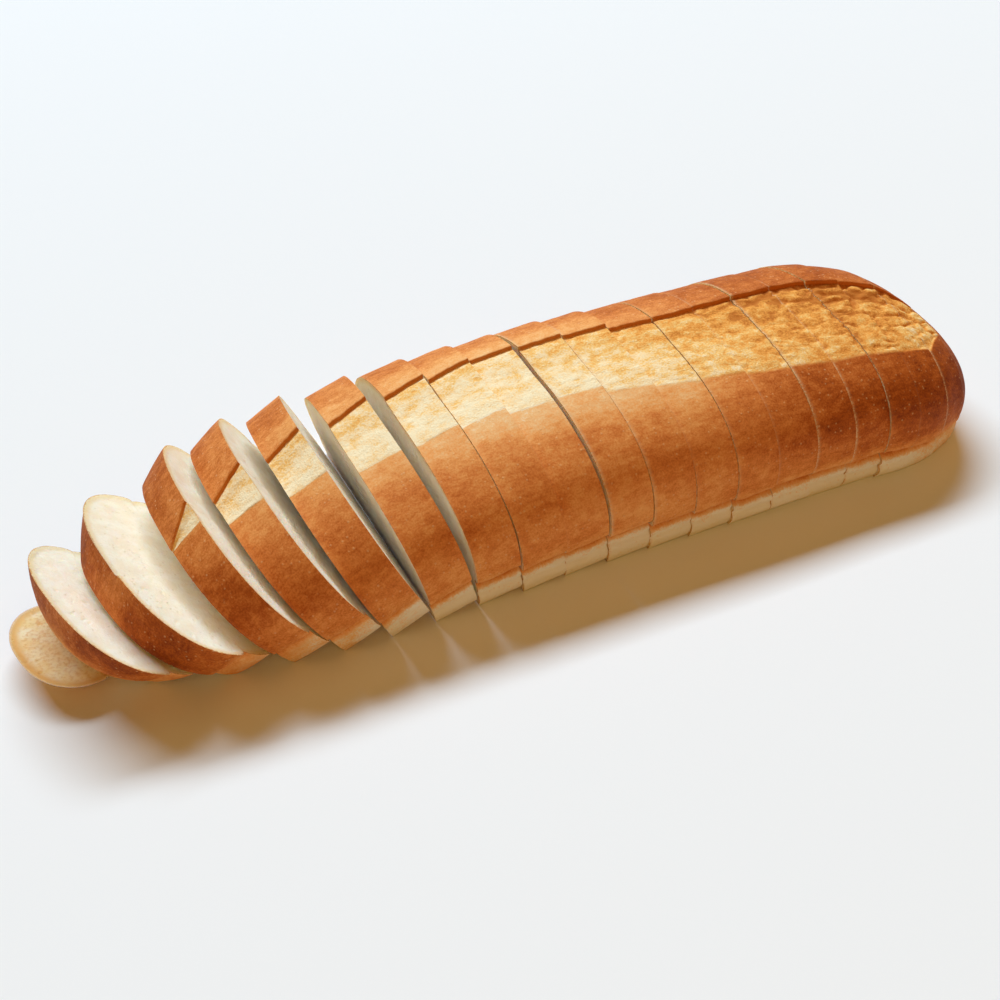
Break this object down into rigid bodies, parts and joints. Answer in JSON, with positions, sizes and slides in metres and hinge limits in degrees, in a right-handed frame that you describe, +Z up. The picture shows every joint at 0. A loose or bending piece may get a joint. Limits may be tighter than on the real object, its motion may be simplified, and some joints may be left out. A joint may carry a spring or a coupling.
{
  "type": "sliced bread loaf",
  "caption": "Long sliced white bread loaf with a smooth browned crust, a torn pale band along the top and the slices at one end fallen over in a fan.",
  "frame": {"origin": "middle of the loaf's box in plan, on the surface that the loaf rests on", "axes": "+X along the loaf from the fallen slices to the whole end, +Y to the loaf's back, +Z up"},
  "size_m": [0.3964, 0.1174, 0.0566],
  "materials": {
    "slice_01": "browned bread crust with pale crumb on the cut faces, matt",
    "slice_02": "browned bread crust with pale crumb on the cut faces, matt",
    "slice_03": "browned bread crust with pale crumb on the cut faces, matt",
    "slice_04": "browned bread crust with pale crumb on the cut faces, matt",
    "slice_05": "browned bread crust with pale crumb on the cut faces, matt",
    "slice_06": "browned bread crust with pale crumb on the cut faces, matt",
    "slice_07": "browned bread crust with pale crumb on the cut faces, matt",
    "slice_08": "browned bread crust with pale crumb on the cut faces, matt",
    "slice_09": "browned bread crust with pale crumb on the cut faces, matt",
    "slice_10": "browned bread crust with pale crumb on the cut faces, matt",
    "slice_11": "browned bread crust with pale crumb on the cut faces, matt",
    "slice_12": "browned bread crust with pale crumb on the cut faces, matt",
    "slice_13": "browned bread crust with pale crumb on the cut faces, matt",
    "slice_14": "browned bread crust with pale crumb on the cut faces, matt",
    "slice_15": "browned bread crust with pale crumb on the cut faces, matt",
    "slice_16": "browned bread crust with pale crumb on the cut faces, matt",
    "slice_17": "browned bread crust with pale crumb on the cut faces, matt",
    "slice_18": "browned bread crust with pale crumb on the cut faces, matt",
    "slice_19": "browned bread crust with pale crumb on the cut faces, matt",
    "slice_20": "browned bread crust with pale crumb on the cut faces, matt",
    "slice_21": "browned bread crust with pale crumb on the cut faces, matt"
  },
  "bodies": {
    "root": {"slice_01": "slice_01", "slice_02": "slice_02", "slice_03": "slice_03", "slice_04": "slice_04", "slice_05": "slice_05", "slice_06": "slice_06", "slice_07": "slice_07", "slice_08": "slice_08", "slice_09": "slice_09", "slice_10": "slice_10", "slice_11": "slice_11", "slice_12": "slice_12", "slice_13": "slice_13", "slice_14": "slice_14", "slice_15": "slice_15", "slice_16": "slice_16", "slice_17": "slice_17", "slice_18": "slice_18", "slice_19": "slice_19", "slice_20": "slice_20", "slice_21": "slice_21"}
  },
  "joints": []
}
